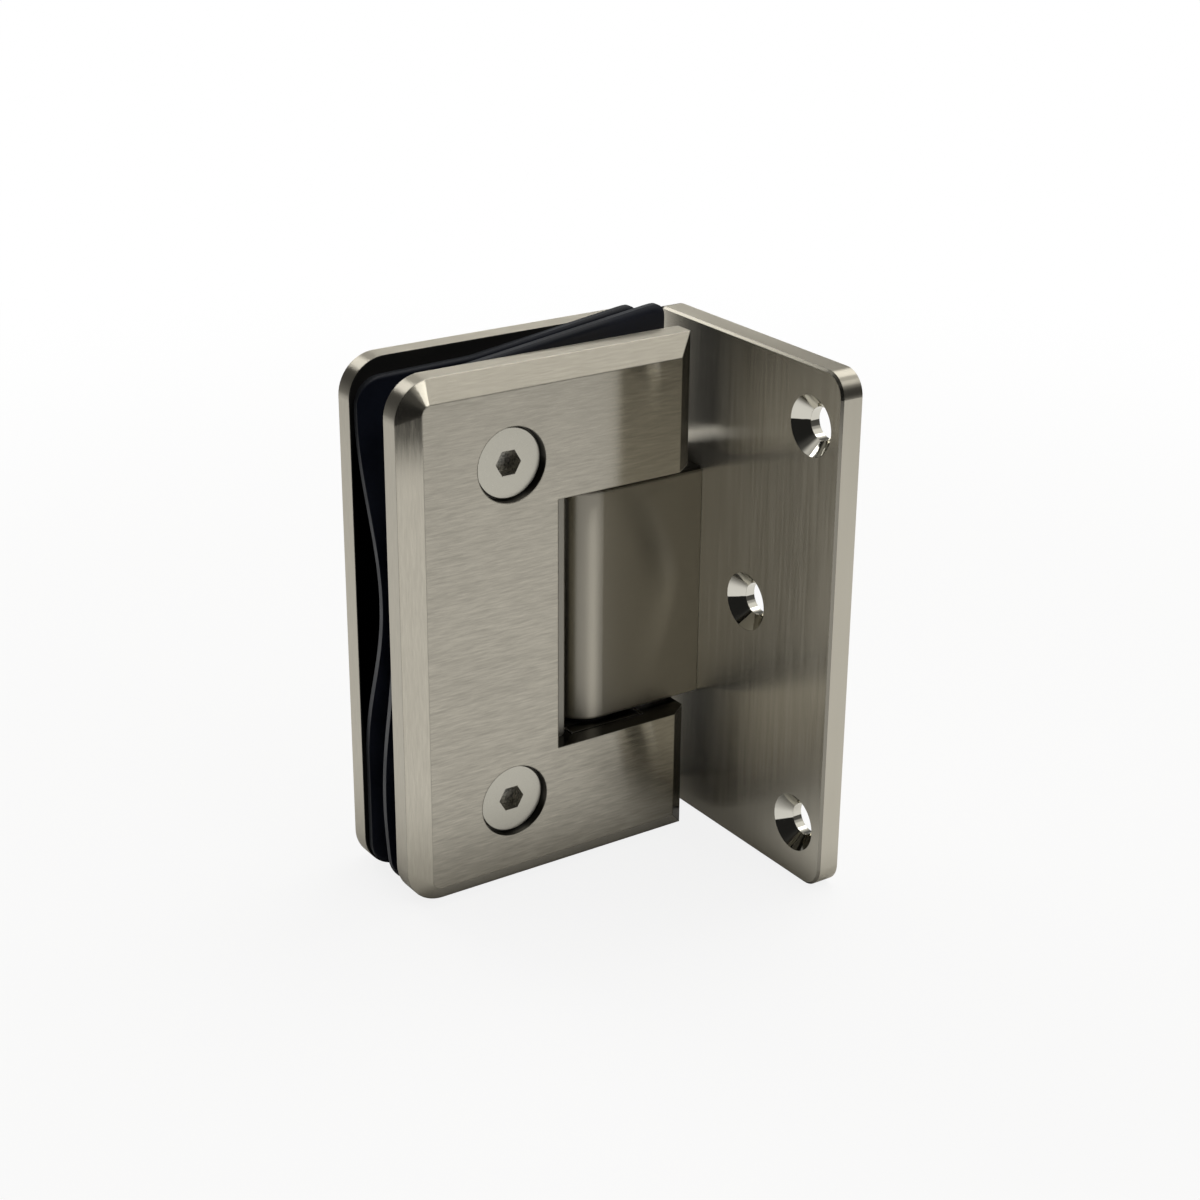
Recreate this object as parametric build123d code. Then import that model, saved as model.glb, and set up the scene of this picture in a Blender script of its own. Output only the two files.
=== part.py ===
from build123d import *
import os
from math import sqrt

os.makedirs("parts", exist_ok=True)

# Frame: X = 0 is the wall surface behind the plate and +X points into the wall,
# Y = 0 is the middle of the glass, -Y is the side that carries the long flange,
# Z = 0 is half height and the pin's axis is parallel to Z. All sizes in millimetres.

# Leading sizes
HEIGHT = 90.0
WALL_THICKNESS = 4.0
WALL_FLANGE = 42.0
WALL_HEEL = 9.0
WALL_CORNER = 4.0
WALL_EDGE_BREAK = 0.4
PIVOT_REACH = 20.0
WALL_GAP = 4.8
CLAMP_WIDTH = 55.0
RIM = 3.5
BEVEL_DEPTH = 2.6
BEVEL_WIDTH = 3.4
CLAMP_CORNER = 6.5
GLASS_GAP = 11.0
NOTCH_HEIGHT = 44.0
NOTCH_DEPTH = 27.2

# Fits and clearances
RUNNING_FIT = 0.04
THREAD_FIT = 0.05
WASHER_PLAY = 0.05
PART_CLEARANCE = 0.3
POCKET_CLEARANCE = 0.4

# Clamp plates, worked out from the leading sizes
FACE_CORNER = 1.5
PLATE_THICKNESS = RIM + BEVEL_DEPTH
INNER_FACE = GLASS_GAP / 2
OUTER_FACE = INNER_FACE + PLATE_THICKNESS
WALL_FACE = -WALL_THICKNESS
PIVOT_X = WALL_FACE - PIVOT_REACH
CLAMP_RIGHT = WALL_FACE - WALL_GAP
CLAMP_LEFT = CLAMP_RIGHT - CLAMP_WIDTH
CLAMP_MIDDLE = (CLAMP_LEFT + CLAMP_RIGHT) / 2
NOTCH_LEFT = CLAMP_RIGHT - NOTCH_DEPTH
NOTCH_HALF = NOTCH_HEIGHT / 2
LEDGE_SETBACK = 3.6
LEDGE_WIDTH = 3.5
LEDGE_CORNER = 0.7

# Wall plate holes
OUTER_HOLE_INSET = 7.3
OUTER_HOLE_END_INSET = 10.0
MIDDLE_HOLE_INSET = 22.3
WALL_HOLE_RADIUS = 2.75
WALL_SINK_RADIUS = 5.0

# Pivot block: a bar with a full round nose about the pin, with more space above it than below
BLOCK_DEPTH = 13.5
BLOCK_UPPER_SPACE = 2.1
BLOCK_LOWER_SPACE = 0.35
BLOCK_TOP = NOTCH_HALF - BLOCK_UPPER_SPACE
BLOCK_BOTTOM = BLOCK_LOWER_SPACE - NOTCH_HALF
BLOCK_EDGE = 0.8
PIN_BORE_RADIUS = 5.0
BUSHING_RADIUS = 5.5
BUSHING_LENGTH = 8.0
WASHER_RADIUS = 6.2

# Lugs on the rear plate that hold the pin's ends
LUG_HALF_WIDTH = 7.0
LUG_REACH = 12.0
LUG_TOP = NOTCH_HALF + LUG_REACH
LUG_WALL = 3.5
LUG_CHAMFER = 1.0
SET_SCREW_RADIUS = 2.5
SET_SCREW_REACH = 6.5
SET_SCREW_HEIGHT = NOTCH_HALF + SET_SCREW_REACH
SET_SCREW_SOCKET = 2.5
SET_SCREW_SOCKET_DEPTH = 2.0

# Pin with three detent flats and one seat flat at each end
PIN_RADIUS = 4.5
PIN_COVER = 1.0
PIN_HALF = LUG_TOP - PIN_COVER
LUG_FRONT = -PIN_RADIUS - LUG_WALL
DETENT_HALF = 11.0
DETENT_FLAT = 4.0
SEAT_FLAT = 4.0
SEAT_INSET = 2.0
SEAT_START = NOTCH_HALF + SEAT_INSET
PIN_END_CHAMFER = 0.6

# Clamp screws
SCREW_INSET = 19.2
SCREW_END_INSET = 15.55
SCREW_X = CLAMP_LEFT + SCREW_INSET
SCREW_HEIGHT = HEIGHT / 2 - SCREW_END_INSET
SCREW_SINK_RADIUS = 6.25
SCREW_HEAD_RADIUS = 5.9
SCREW_HEAD_RECESS = 1.1
SCREW_HEAD_RIM = 0.6
SCREW_HEAD_BREAK = 0.15
SCREW_RADIUS = 3.0
SCREW_PASSAGE_RADIUS = 3.3
SCREW_COVER = 1.6
SCREW_END = OUTER_FACE - SCREW_COVER
SCREW_TAP_END = SCREW_END + POCKET_CLEARANCE
SCREW_SOCKET = 4.0
SCREW_SOCKET_DEPTH = 2.6
SLEEVE_RADIUS = 5.0
SLEEVE_SHORTFALL = 1.0

# Block screws, fitted from the back of the wall plate
BLOCK_SCREW_INSET = 4.4
BLOCK_SCREW_HEIGHT = BLOCK_TOP - BLOCK_SCREW_INSET
BLOCK_SCREW_RADIUS = 2.5
BLOCK_SCREW_PASSAGE = 2.75
BLOCK_SCREW_HEAD = 4.7
BLOCK_SCREW_RECESS = 0.2
BLOCK_SCREW_LENGTH = 14.0
BLOCK_SCREW_SOCKET = 3.0
BLOCK_SCREW_SOCKET_DEPTH = 1.9
TAP_RUNOUT = 1.0
SCREW_JOIN = 0.5

# Spring detents inside the block
DETENT_HEIGHT = 6.0
PLUNGER_RADIUS = 3.5
PLUNGER_LENGTH = 7.0
PLUNGER_TIP_CHAMFER = 0.5
PLUNGER_STEM_RADIUS = 1.7
PLUNGER_STEM = 2.6
PLUNGER_SLIDE_FIT = 0.05
SPRING_WIRE = 1.0
SPRING_RADIUS = 2.75
SPRING_TURNS = 3.0
SPRING_WIRE_SIDES = 6

# Gaskets, loose without a pane of glass: their upper edges slope up to the right past the plates
GASKET_THICKNESS = 0.6
GASKET_INSET = 0.8
GASKET_CORNER = 4.5
GASKET_RIGHT_CORNER = 2.5
GASKET_RELIEF = 1.0
GASKET_HOLE_RADIUS = 5.5
GASKET_KNEE_RADIUS = 60.0

# Points of each upper edge: distance from the plate's left edge and height above its top edge
FRONT_GASKET_TOP = [(0.8, -2.1), (52.2, 4.6)]
REAR_GASKET_TOP = [(0.8, -3.0), (21.8, -2.5), (53.8, 1.8)]

# Working values: a cut that runs past the part, an overrun for joins and cuts, a match tolerance
BIG = 200.0
OVERRUN = 1.0
MATCH = 0.01


def corner_box(x_low, x_high, y_low, y_high, z_low, z_high):
    """Return a box between two corners."""
    size = (x_high - x_low, y_high - y_low, z_high - z_low)
    centre = ((x_low + x_high) / 2, (y_low + y_high) / 2, (z_low + z_high) / 2)
    return Pos(*centre) * Box(*size)


def rod_along_y(x, z, y_start, y_end, radius):
    """Return a round rod along Y."""
    return Pos(x, (y_start + y_end) / 2, z) * Rot(90, 0, 0) * Cylinder(radius, abs(y_end - y_start))


def cone_along_y(x, z, y_start, y_end, radius_start, radius_end):
    """Return a cone along +Y from y_start to y_end."""
    body = Cone(radius_start, radius_end, y_end - y_start)
    return Pos(x, (y_start + y_end) / 2, z) * Rot(-90, 0, 0) * body


def rod_along_x(y, z, x_start, x_end, radius):
    """Return a round rod along X."""
    return Pos((x_start + x_end) / 2, y, z) * Rot(0, 90, 0) * Cylinder(radius, abs(x_end - x_start))


def cone_along_x(y, z, x_start, x_end, radius_start, radius_end):
    """Return a cone along +X from x_start to x_end."""
    body = Cone(radius_start, radius_end, x_end - x_start)
    return Pos((x_start + x_end) / 2, y, z) * Rot(0, 90, 0) * body


def rod_along_z(x, y, z_start, z_end, radius):
    """Return a round rod along Z."""
    return Pos(x, y, (z_start + z_end) / 2) * Cylinder(radius, abs(z_end - z_start))


def hexagon_radius(across_flats):
    """Return the corner radius of a hexagon from its width across the flats."""
    return across_flats / sqrt(3)


def save(shape, node):
    """Name one solid and write it to the parts folder."""
    solids = shape.solids()
    if len(solids) != 1:
        raise ValueError(f"{node} has {len(solids)} solids")
    solid = solids[0]
    solid.label = node
    export_step(solid, f"parts/{node}.step")


# Wall plate
def make_wall_plate():
    """Return the flat plate with three countersunk wall holes and two block screw holes."""
    width = WALL_FLANGE + WALL_HEEL
    centre_y = (WALL_HEEL - WALL_FLANGE) / 2
    outline = RectangleRounded(width, HEIGHT, WALL_CORNER)
    plane = Plane(origin=(WALL_FACE, centre_y, 0), x_dir=(0, 1, 0), z_dir=(1, 0, 0))
    plate = extrude(plane * outline, WALL_THICKNESS)
    front = plate.faces().sort_by(Axis.X)[0]
    plate = chamfer(front.edges(), WALL_EDGE_BREAK)
    sink_depth = WALL_SINK_RADIUS - WALL_HOLE_RADIUS
    outer_y = OUTER_HOLE_INSET - WALL_FLANGE
    middle_y = MIDDLE_HOLE_INSET - WALL_FLANGE
    outer_z = HEIGHT / 2 - OUTER_HOLE_END_INSET
    spots = [(outer_y, outer_z), (outer_y, -outer_z), (middle_y, 0)]
    for y, z in spots:
        plate -= rod_along_x(y, z, WALL_FACE - OVERRUN, OVERRUN, WALL_HOLE_RADIUS)
        plate -= cone_along_x(y, z, WALL_FACE, WALL_FACE + sink_depth, WALL_SINK_RADIUS, WALL_HOLE_RADIUS)
    head_depth = BLOCK_SCREW_HEAD - BLOCK_SCREW_RADIUS
    seat_end = -BLOCK_SCREW_RECESS - head_depth
    for z in (BLOCK_SCREW_HEIGHT, -BLOCK_SCREW_HEIGHT):
        plate -= rod_along_x(0, z, WALL_FACE - OVERRUN, seat_end + SCREW_JOIN, BLOCK_SCREW_PASSAGE)
        plate -= cone_along_x(0, z, seat_end, -BLOCK_SCREW_RECESS, BLOCK_SCREW_RADIUS, BLOCK_SCREW_HEAD)
        plate -= rod_along_x(0, z, -BLOCK_SCREW_RECESS, OVERRUN, BLOCK_SCREW_HEAD)
    return plate


# Pivot block
def block_end(side):
    """Return the height of the block's upper or lower end."""
    return BLOCK_TOP if side > 0 else BLOCK_BOTTOM


def make_pivot_block():
    """Return the bar with a round nose, the pin bore, two detent bores and two tapped holes."""
    half_depth = BLOCK_DEPTH / 2
    bar = corner_box(PIVOT_X, WALL_FACE, -half_depth, half_depth, BLOCK_BOTTOM, BLOCK_TOP)
    bar += rod_along_z(PIVOT_X, 0, BLOCK_BOTTOM, BLOCK_TOP, half_depth)
    ends = bar.edges().group_by(Axis.Z)[0] + bar.edges().group_by(Axis.Z)[-1]
    rounded = [e for e in ends if e.center().X < WALL_FACE - MATCH]
    bar = fillet(rounded, BLOCK_EDGE)
    bar -= rod_along_z(PIVOT_X, 0, -BIG, BIG, PIN_BORE_RADIUS)
    tap_end = -BLOCK_SCREW_RECESS - BLOCK_SCREW_LENGTH - TAP_RUNOUT
    for side in (1, -1):
        seat = block_end(side) - side * BUSHING_LENGTH
        bar -= rod_along_z(PIVOT_X, 0, seat, side * BIG, BUSHING_RADIUS)
        bar -= rod_along_x(0, side * DETENT_HEIGHT, PIVOT_X, 0, PLUNGER_RADIUS + PLUNGER_SLIDE_FIT)
        bar -= rod_along_x(0, side * BLOCK_SCREW_HEIGHT, tap_end, 0, BLOCK_SCREW_RADIUS + THREAD_FIT)
    return bar


def make_block_screw(side):
    """Return a flat head socket screw that holds the block from behind the wall plate."""
    z = side * BLOCK_SCREW_HEIGHT
    head_face = -BLOCK_SCREW_RECESS
    head_end = head_face - (BLOCK_SCREW_HEAD - BLOCK_SCREW_RADIUS)
    screw = rod_along_x(0, z, head_face - BLOCK_SCREW_LENGTH, head_face - SCREW_JOIN, BLOCK_SCREW_RADIUS)
    screw += cone_along_x(0, z, head_end, head_face, BLOCK_SCREW_RADIUS, BLOCK_SCREW_HEAD)
    socket = RegularPolygon(hexagon_radius(BLOCK_SCREW_SOCKET), 6)
    plane = Plane(origin=(head_face, 0, z), x_dir=(0, 1, 0), z_dir=(-1, 0, 0))
    screw -= extrude(plane * socket, BLOCK_SCREW_SOCKET_DEPTH)
    return screw


def make_bushing(side):
    """Return a plain bearing sleeve pressed into one end of the block."""
    outer_end = block_end(side)
    sleeve = rod_along_z(PIVOT_X, 0, outer_end - side * BUSHING_LENGTH, outer_end, BUSHING_RADIUS)
    return sleeve - rod_along_z(PIVOT_X, 0, -BIG, BIG, PIN_RADIUS + RUNNING_FIT)


def make_washer(side):
    """Return the thrust washer between the block and one arm of the clamp, the upper one thicker."""
    arm_side = side * (NOTCH_HALF - WASHER_PLAY)
    ring = rod_along_z(PIVOT_X, 0, block_end(side), arm_side, WASHER_RADIUS)
    return ring - rod_along_z(PIVOT_X, 0, -BIG, BIG, PIN_RADIUS + PART_CLEARANCE)


# Spring detents
PLUNGER_TIP = PIVOT_X + PIN_RADIUS + PART_CLEARANCE
PLUNGER_BACK = PLUNGER_TIP + PLUNGER_LENGTH


def make_plunger(side):
    """Return a detent plunger with a guide stem for its spring."""
    z = side * DETENT_HEIGHT
    body = rod_along_x(0, z, PLUNGER_TIP, PLUNGER_BACK, PLUNGER_RADIUS)
    tip = body.faces().sort_by(Axis.X)[0]
    body = chamfer(tip.edges(), PLUNGER_TIP_CHAMFER)
    return body + rod_along_x(0, z, PLUNGER_BACK - OVERRUN, PLUNGER_BACK + PLUNGER_STEM, PLUNGER_STEM_RADIUS)


def make_spring(side):
    """Return a coil spring with flat ground ends, seated between plunger and wall plate."""
    z = side * DETENT_HEIGHT
    length = WALL_FACE - PLUNGER_BACK
    helix = Helix(pitch=length / SPRING_TURNS, height=length, radius=SPRING_RADIUS - SPRING_WIRE / 2)
    start = Plane(origin=helix @ 0, z_dir=helix % 0)
    wire = sweep(start * RegularPolygon(SPRING_WIRE / 2, SPRING_WIRE_SIDES), path=helix, is_frenet=True)
    coil = Pos(PLUNGER_BACK, 0, z) * Rot(0, 90, 0) * wire
    bounds = corner_box(PLUNGER_BACK, WALL_FACE, -BIG, BIG, -BIG, BIG)
    return coil & bounds


# Pivot pin
def make_pin():
    """Return the pin with three detent flats in the middle and a seat flat at each end."""
    pin = rod_along_z(PIVOT_X, 0, -PIN_HALF, PIN_HALF, PIN_RADIUS)
    ends = [e for e in pin.edges() if abs(abs(e.center().Z) - PIN_HALF) < MATCH]
    pin = chamfer(ends, PIN_END_CHAMFER)
    pin -= corner_box(PIVOT_X + DETENT_FLAT, PIVOT_X + BIG, -BIG, BIG, -DETENT_HALF, DETENT_HALF)
    for side in (1, -1):
        low, high = sorted((side * DETENT_FLAT, side * BIG))
        pin -= corner_box(PIVOT_X - BIG, PIVOT_X + BIG, low, high, -DETENT_HALF, DETENT_HALF)
        low, high = sorted((side * SEAT_START, side * BIG))
        pin -= corner_box(PIVOT_X - BIG, PIVOT_X + BIG, -BIG, -SEAT_FLAT, low, high)
    return pin


# Clamp plates
def clamp_outline(y, inset, corner):
    """Return an outline in a plane across Y, rounded at the left and square at the right."""
    plane = Plane(origin=(CLAMP_MIDDLE, y, 0), x_dir=(1, 0, 0), z_dir=(0, -1, 0))
    outline = Rectangle(CLAMP_WIDTH - 2 * inset, HEIGHT - 2 * inset)
    left = outline.vertices().sort_by(Axis.X)[0:2]
    return plane * fillet(left, corner)


def along_y(edges):
    """Return the straight edges that run along Y."""
    return [e for e in edges if abs(e.tangent_at(0.5).Y) > 1 - MATCH]


def make_clamp_blank():
    """Return a bevelled front plate with its notch, and the ledge along the notch's inner side.

    The bevel runs from a well rounded rim to an almost square corner of the face."""
    rim_back = clamp_outline(-INNER_FACE, 0, CLAMP_CORNER)
    rim_front = clamp_outline(-INNER_FACE - RIM, 0, CLAMP_CORNER)
    face = clamp_outline(-OUTER_FACE, BEVEL_WIDTH, FACE_CORNER)
    blank = extrude(rim_back, RIM) + loft([rim_front, face], ruled=True)
    blank -= corner_box(NOTCH_LEFT, BIG, -BIG, BIG, -NOTCH_HALF, NOTCH_HALF)
    ledge_face = LEDGE_SETBACK - OUTER_FACE
    ledge_right = NOTCH_LEFT + LEDGE_WIDTH
    ledge = corner_box(NOTCH_LEFT - OVERRUN, ledge_right, ledge_face, -INNER_FACE, -NOTCH_HALF, NOTCH_HALF)
    free_corners = [e for e in along_y(ledge.edges()) if e.center().X > NOTCH_LEFT]
    return blank + fillet(free_corners, LEDGE_CORNER)


def make_front_plate():
    """Return the front clamp plate with two counterbored screw holes and two lug pockets."""
    plate = make_clamp_blank()
    head_bottom = SCREW_HEAD_RECESS + SCREW_HEAD_RIM - OUTER_FACE
    cone_end = head_bottom + SCREW_HEAD_RADIUS - SCREW_PASSAGE_RADIUS
    pocket_half = LUG_HALF_WIDTH + POCKET_CLEARANCE
    pocket_floor = LUG_FRONT - POCKET_CLEARANCE
    for side in (1, -1):
        z = side * SCREW_HEIGHT
        plate -= rod_along_y(SCREW_X, z, -BIG, head_bottom, SCREW_SINK_RADIUS)
        plate -= cone_along_y(SCREW_X, z, head_bottom, cone_end, SCREW_HEAD_RADIUS, SCREW_PASSAGE_RADIUS)
        plate -= rod_along_y(SCREW_X, z, -OUTER_FACE, 0, SCREW_PASSAGE_RADIUS)
        low, high = sorted((side * (NOTCH_HALF - OVERRUN), side * (LUG_TOP + POCKET_CLEARANCE)))
        plate -= corner_box(PIVOT_X - pocket_half, PIVOT_X + pocket_half, pocket_floor, 0, low, high)
    return plate


def make_rear_plate():
    """Return the rear clamp plate with tapped holes and the two lugs that hold the pin."""
    plate = mirror(make_clamp_blank(), about=Plane.XZ)
    for side in (1, -1):
        low, high = sorted((side * NOTCH_HALF, side * LUG_TOP))
        left, right = PIVOT_X - LUG_HALF_WIDTH, PIVOT_X + LUG_HALF_WIDTH
        lug = corner_box(left, right, LUG_FRONT, INNER_FACE + OVERRUN, low, high)
        far_edges = [e for e in along_y(lug.edges()) if abs(e.center().Z - side * LUG_TOP) < MATCH]
        plate += chamfer(far_edges, LUG_CHAMFER)
        bore_ends = side * (NOTCH_HALF - OVERRUN), side * (PIN_HALF + PART_CLEARANCE)
        plate -= rod_along_z(PIVOT_X, 0, *bore_ends, PIN_RADIUS)
        z = side * SET_SCREW_HEIGHT
        plate -= rod_along_y(PIVOT_X, z, LUG_FRONT - OVERRUN, 0, SET_SCREW_RADIUS)
        plate -= rod_along_y(SCREW_X, side * SCREW_HEIGHT, 0, SCREW_TAP_END, SCREW_RADIUS + THREAD_FIT)
    return plate


def make_clamp_screw(side):
    """Return a flat head socket screw that draws the two clamp plates together."""
    z = side * SCREW_HEIGHT
    head_face = SCREW_HEAD_RECESS - OUTER_FACE
    head_bottom = head_face + SCREW_HEAD_RIM
    cone_end = head_bottom + SCREW_HEAD_RADIUS - SCREW_RADIUS
    rim = rod_along_y(SCREW_X, z, head_face, head_bottom, SCREW_HEAD_RADIUS)
    top = rim.faces().sort_by(Axis.Y)[0]
    screw = chamfer(top.edges(), SCREW_HEAD_BREAK)
    screw += cone_along_y(SCREW_X, z, head_bottom, cone_end, SCREW_HEAD_RADIUS, SCREW_RADIUS)
    screw += rod_along_y(SCREW_X, z, head_bottom, SCREW_END, SCREW_RADIUS)
    socket = RegularPolygon(hexagon_radius(SCREW_SOCKET), 6)
    plane = Plane(origin=(SCREW_X, head_face, z), x_dir=(1, 0, 0), z_dir=(0, 1, 0))
    screw -= extrude(plane * socket, SCREW_SOCKET_DEPTH)
    return screw


def make_screw_sleeve(side):
    """Return the sleeve that keeps a clamp screw off the edge of the glass."""
    z = side * SCREW_HEIGHT
    sleeve = rod_along_y(SCREW_X, z, SLEEVE_SHORTFALL - INNER_FACE, INNER_FACE, SLEEVE_RADIUS)
    return sleeve - rod_along_y(SCREW_X, z, -BIG, BIG, SCREW_PASSAGE_RADIUS)


def make_set_screw(side):
    """Return the socket set screw that locks one end of the pin in its lug."""
    z = side * SET_SCREW_HEIGHT
    screw = rod_along_y(PIVOT_X, z, LUG_FRONT, -SEAT_FLAT, SET_SCREW_RADIUS - THREAD_FIT)
    socket = RegularPolygon(hexagon_radius(SET_SCREW_SOCKET), 6)
    plane = Plane(origin=(PIVOT_X, LUG_FRONT, z), x_dir=(1, 0, 0), z_dir=(0, 1, 0))
    return screw - extrude(plane * socket, SET_SCREW_SOCKET_DEPTH)


# Gaskets
def make_gasket(side, top_edge):
    """Return the thin rubber sheet on the inner face of one clamp plate."""
    top_points = [(CLAMP_LEFT + along, HEIGHT / 2 + rise) for along, rise in top_edge]
    low = GASKET_INSET - HEIGHT / 2
    left, right = top_points[0][0], top_points[-1][0]
    outline = Polygon((left, low), (right, low), *reversed(top_points), align=None)
    knees = outline.vertices().sort_by(Axis.X)[2:-2]
    if knees:
        outline = fillet(knees, GASKET_KNEE_RADIUS)
    outline = fillet(outline.vertices().sort_by(Axis.X)[0:2], GASKET_CORNER)
    outline = fillet(outline.vertices().sort_by(Axis.X)[-2:], GASKET_RIGHT_CORNER)
    notch_left = NOTCH_LEFT - GASKET_RELIEF
    notch_half = NOTCH_HALF + GASKET_RELIEF
    outline -= Pos(notch_left + BIG / 2, 0) * Rectangle(BIG, 2 * notch_half)
    lug_half = LUG_HALF_WIDTH + GASKET_RELIEF
    outline -= Pos(PIVOT_X, 0) * Rectangle(2 * lug_half, 2 * (LUG_TOP + GASKET_RELIEF))
    for hole_z in (SCREW_HEIGHT, -SCREW_HEIGHT):
        outline -= Pos(SCREW_X, hole_z) * Circle(GASKET_HOLE_RADIUS)
    plane = Plane(origin=(0, side * INNER_FACE, 0), x_dir=(1, 0, 0), z_dir=(0, -1, 0))
    return extrude(plane * outline, GASKET_THICKNESS * side)


save(make_wall_plate(), "wall_plate")
save(make_pivot_block(), "pivot_block")
save(make_pin(), "pivot_pin")
save(make_front_plate(), "front_clamp_plate")
save(make_rear_plate(), "rear_clamp_plate")
save(make_gasket(-1, FRONT_GASKET_TOP), "front_gasket")
save(make_gasket(1, REAR_GASKET_TOP), "rear_gasket")
for name, side in (("upper", 1), ("lower", -1)):
    save(make_block_screw(side), f"{name}_block_screw")
    save(make_bushing(side), f"{name}_bushing")
    save(make_washer(side), f"{name}_washer")
    save(make_plunger(side), f"{name}_detent_plunger")
    save(make_spring(side), f"{name}_detent_spring")
    save(make_clamp_screw(side), f"{name}_clamp_screw")
    save(make_screw_sleeve(side), f"{name}_screw_sleeve")
    save(make_set_screw(side), f"{name}_pin_set_screw")
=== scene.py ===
"""Looks of a glass door hinge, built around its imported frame. Metres, +Z up, closed pose."""

import math

import bmesh
import bpy
import numpy as np
from mathutils import Matrix, Vector


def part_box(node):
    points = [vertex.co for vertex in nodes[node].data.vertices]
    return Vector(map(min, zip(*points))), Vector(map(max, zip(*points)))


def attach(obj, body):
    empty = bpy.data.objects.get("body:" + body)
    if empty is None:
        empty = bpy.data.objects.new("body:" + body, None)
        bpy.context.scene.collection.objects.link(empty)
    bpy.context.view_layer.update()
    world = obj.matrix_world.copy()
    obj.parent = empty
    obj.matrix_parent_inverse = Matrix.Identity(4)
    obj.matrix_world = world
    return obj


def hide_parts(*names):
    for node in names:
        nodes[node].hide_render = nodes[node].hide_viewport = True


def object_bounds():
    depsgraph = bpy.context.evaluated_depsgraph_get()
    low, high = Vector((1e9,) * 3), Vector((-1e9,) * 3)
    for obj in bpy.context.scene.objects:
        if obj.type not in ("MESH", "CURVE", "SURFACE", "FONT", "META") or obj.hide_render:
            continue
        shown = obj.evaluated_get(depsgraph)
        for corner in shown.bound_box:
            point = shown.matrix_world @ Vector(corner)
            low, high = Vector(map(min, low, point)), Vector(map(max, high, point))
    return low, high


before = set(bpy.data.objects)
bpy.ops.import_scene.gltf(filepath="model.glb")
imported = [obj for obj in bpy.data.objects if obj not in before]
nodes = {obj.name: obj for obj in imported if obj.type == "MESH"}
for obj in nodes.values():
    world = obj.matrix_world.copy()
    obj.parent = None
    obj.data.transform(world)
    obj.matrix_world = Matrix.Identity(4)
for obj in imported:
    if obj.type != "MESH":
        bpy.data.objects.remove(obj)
cad_low, cad_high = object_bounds()
MM = 0.001
X_AXIS = (1.0, 0.0, 0.0)
Y_AXIS = (0.0, 1.0, 0.0)
Z_AXIS = (0.0, 0.0, 1.0)

# Camera, at the photograph's viewing angle
CAMERA_TARGET = (-26.196 * MM, -9.094 * MM, 1.585 * MM)
CAMERA_AZIMUTH = math.radians(34.037)
CAMERA_ELEVATION = math.radians(22.70)
CAMERA_ROLL = math.radians(0.443)
CAMERA_DISTANCE = 371.27 * MM
CAMERA_LENS = 67.22
SENSOR_WIDTH = 36.0
CLIP_START = 0.01
CLIP_END = 20.0

# Floor: its paper, how white it looks, and the painted shadow round the hinge's footprints in what its
# metal mirrors
FLOOR_RADIUS = 3.0
FLOOR_SIDES = 128
FLOOR_CLEARANCE = 0.05 * MM
FLOOR_ALBEDO = (0.86, 0.855, 0.845)
WHITE = (1.0, 1.0, 1.0)
SEEN_WHITENESS = 0.85
REFLECTED_WHITENESS = 0.85
FLOOR_WHITE_RANGE = (0.12, 0.40)
CLAMP_SHADE_REACH = 32.0 * MM
WALL_SHADE_REACH = 14.0 * MM

# Table that the floor stands for: its rounded end, and a cut corner towards the front left
TABLE_END_RANGE = (0.42, 0.55)
TABLE_CORNER_SIDE = (-0.77, -0.64, 0.0)
TABLE_CORNER_RANGE = (0.268, 0.298)

# Light of the room's walls, as (height of the direction, level) stops
FRONT_WALL = [
    (-1.0, 0.12), (-0.30, 0.08), (0.00, 0.07), (0.64, 0.11), (0.72, 0.5), (0.84, 0.5), (0.95, 1.0),
]
BACK_WALL = [(-1.0, 0.12), (-0.10, 0.40), (0.20, 0.13), (0.55, 0.15), (0.75, 0.8), (0.85, 1.2)]
WALL_TINT = (1.0, 0.99, 0.965)
SIDE_WALL = (0.018, 0.018, 0.018)
CEILING_SLOPE = 0.5

# Between which directions the room turns to its back wall and to its dark left side
BACK_RANGE = (0.2, 0.55)
SIDE_RANGE = (-0.50, -0.75)
BELOW_CEILING_RANGE = (0.85, 0.65)
BEFORE_BACK_RANGE = (0.5, 0.25)

# Soft boxes: direction from the hinge, size and power
SOFTBOX_DISTANCE = 0.9
SOFTBOXES = {
    "top_softbox": ((0.45, 0.15, 0.88), (0.5, 0.4), 1.8),
    "back_softbox": ((-0.16, 0.79, 0.56), (0.36, 0.22), 1.2),
    "front_softbox": ((0.08, -0.63, 0.77), (0.32, 0.30), 0.75),
}

# Colours of the finishes, linear
NICKEL = (0.39, 0.365, 0.305)
# Wall plate's nickel, the clamp plates' finish made lighter: painted light
WALL_LIFTED_NICKEL = (0.46, 0.432, 0.362)
BLOCK_NICKEL = (0.49, 0.458, 0.382)
BRIGHT_NICKEL = (0.62, 0.60, 0.53)
SCREW_NICKEL = (0.52, 0.50, 0.43)
# Near black nickel: painted shade on the block's ends, the notch's level walls and the screw recess walls
SHADE_NICKEL = (0.075, 0.072, 0.062)
MILLED_NICKEL = (0.30, 0.285, 0.245)
# Near black nickel on the clamp plates' inner faces: painted shade of the gap between them
INNER_SHADE_NICKEL = (0.04, 0.039, 0.037)
SOCKET_STEEL = (0.42, 0.405, 0.36)
RUBBER = (0.0022, 0.0042, 0.012)
# Lighter rubber on the sheets' rims: painted highlight of the light their edges catch
RUBBER_LIT_EDGE = (0.028, 0.031, 0.036)
BLACK_NYLON = (0.012, 0.012, 0.013)
CLEAR_NYLON = (0.72, 0.70, 0.64)

# Noise: its detail, and how far from one half its values mostly reach
NOISE_DETAIL = 2.0
NOISE_REACH = 0.2

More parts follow.
